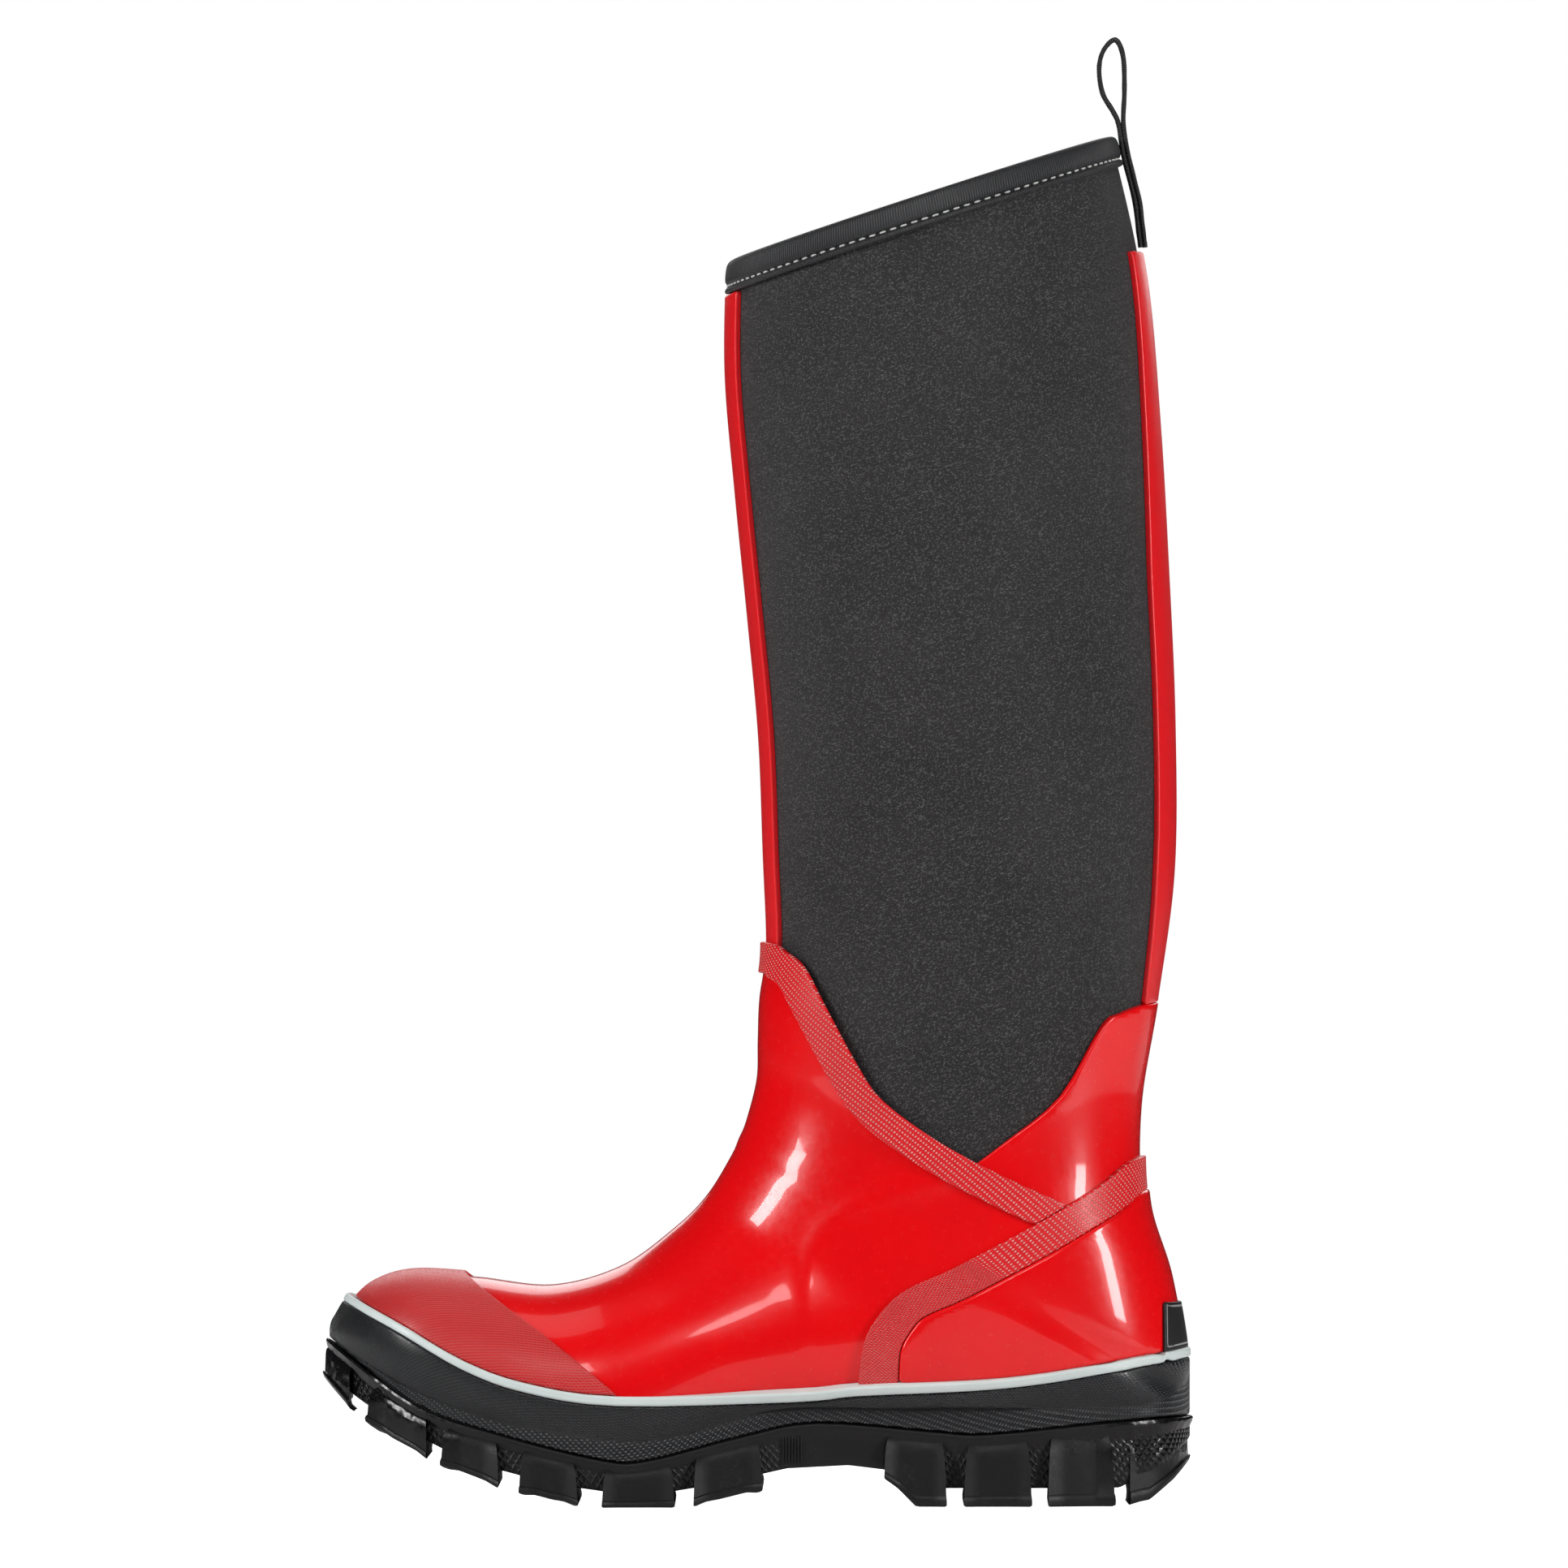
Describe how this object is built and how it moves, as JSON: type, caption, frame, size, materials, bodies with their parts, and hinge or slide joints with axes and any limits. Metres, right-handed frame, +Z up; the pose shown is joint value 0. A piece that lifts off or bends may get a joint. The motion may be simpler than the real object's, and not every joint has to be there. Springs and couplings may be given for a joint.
{
  "type": "rubber rain boot",
  "caption": "Tall left rubber rain boot: neoprene shaft, glossy red rubber foot with embossed bands and toe cap, pale stripe, lugged sole, webbing pull loop and loose footbed.",
  "frame": {"origin": "middle of the boot's box on the ground under the sole", "axes": "+Z up along the shaft, -X towards the toe, +X towards the heel, -Y the outer side of a left boot, +Y the inner side"},
  "size_m": [0.2829, 0.118, 0.4778],
  "materials": {
    "sole_rubber": "black moulded rubber, satin",
    "foxing_rubber": "black rubber embossed with fine dots",
    "stripe_rubber": "off-white smooth rubber",
    "midsole_rubber": "dark sponge rubber",
    "shank_steel": "spring steel",
    "board": "pressed fibre board",
    "neoprene": "charcoal knit-faced neoprene",
    "lining_knit": "dark knitted jersey",
    "stiffener": "stiffened fabric",
    "gloss_rubber": "glossy red rubber",
    "band_rubber": "red rubber embossed with fine dots",
    "label": "plain black patch",
    "strip_rubber": "red rubber strip",
    "binding_tape": "black ribbed tape",
    "thread": "pale sewing thread",
    "webbing": "black ribbed webbing",
    "footbed_foam": "grey foam",
    "footbed_fabric": "dark knitted fabric"
  },
  "bodies": {
    "boot": {"outsole": "sole_rubber", "foxing": "foxing_rubber", "foxing_stripe": "stripe_rubber", "midsole": "midsole_rubber", "shank": "shank_steel", "insole_board": "board", "neoprene_lateral": "neoprene", "neoprene_medial": "neoprene", "sock_lining": "lining_knit", "toe_puff": "stiffener", "heel_stiffener": "stiffener", "vamp": "gloss_rubber", "rear_collar": "gloss_rubber", "heel_cover": "gloss_rubber", "instep_band": "band_rubber", "heel_band": "band_rubber", "toe_cap": "band_rubber", "heel_label": "label", "front_strip": "strip_rubber", "back_strip": "strip_rubber", "top_binding": "binding_tape", "binding_stitches": "thread", "pull_loop_tail": "webbing"},
    "loop": {"pull_loop": "webbing"},
    "footbed": {"footbed_foam": "footbed_foam", "footbed_cover": "footbed_fabric"}
  },
  "joints": [
    {"name": "pull_loop_swing", "type": "hinge", "parent": "boot", "child": "loop", "pos_m": [0.11895, 0, 0.44782], "axis": [0, 1, 0], "range_deg": [-80, 80], "stiffness_Nm_per_rad": 0.003},
    {"name": "footbed_lift", "type": "hinge", "parent": "boot", "child": "footbed", "pos_m": [-0.112, 0, 0.0555], "axis": [0, -1, 0], "range_deg": [0, 4]}
  ]
}
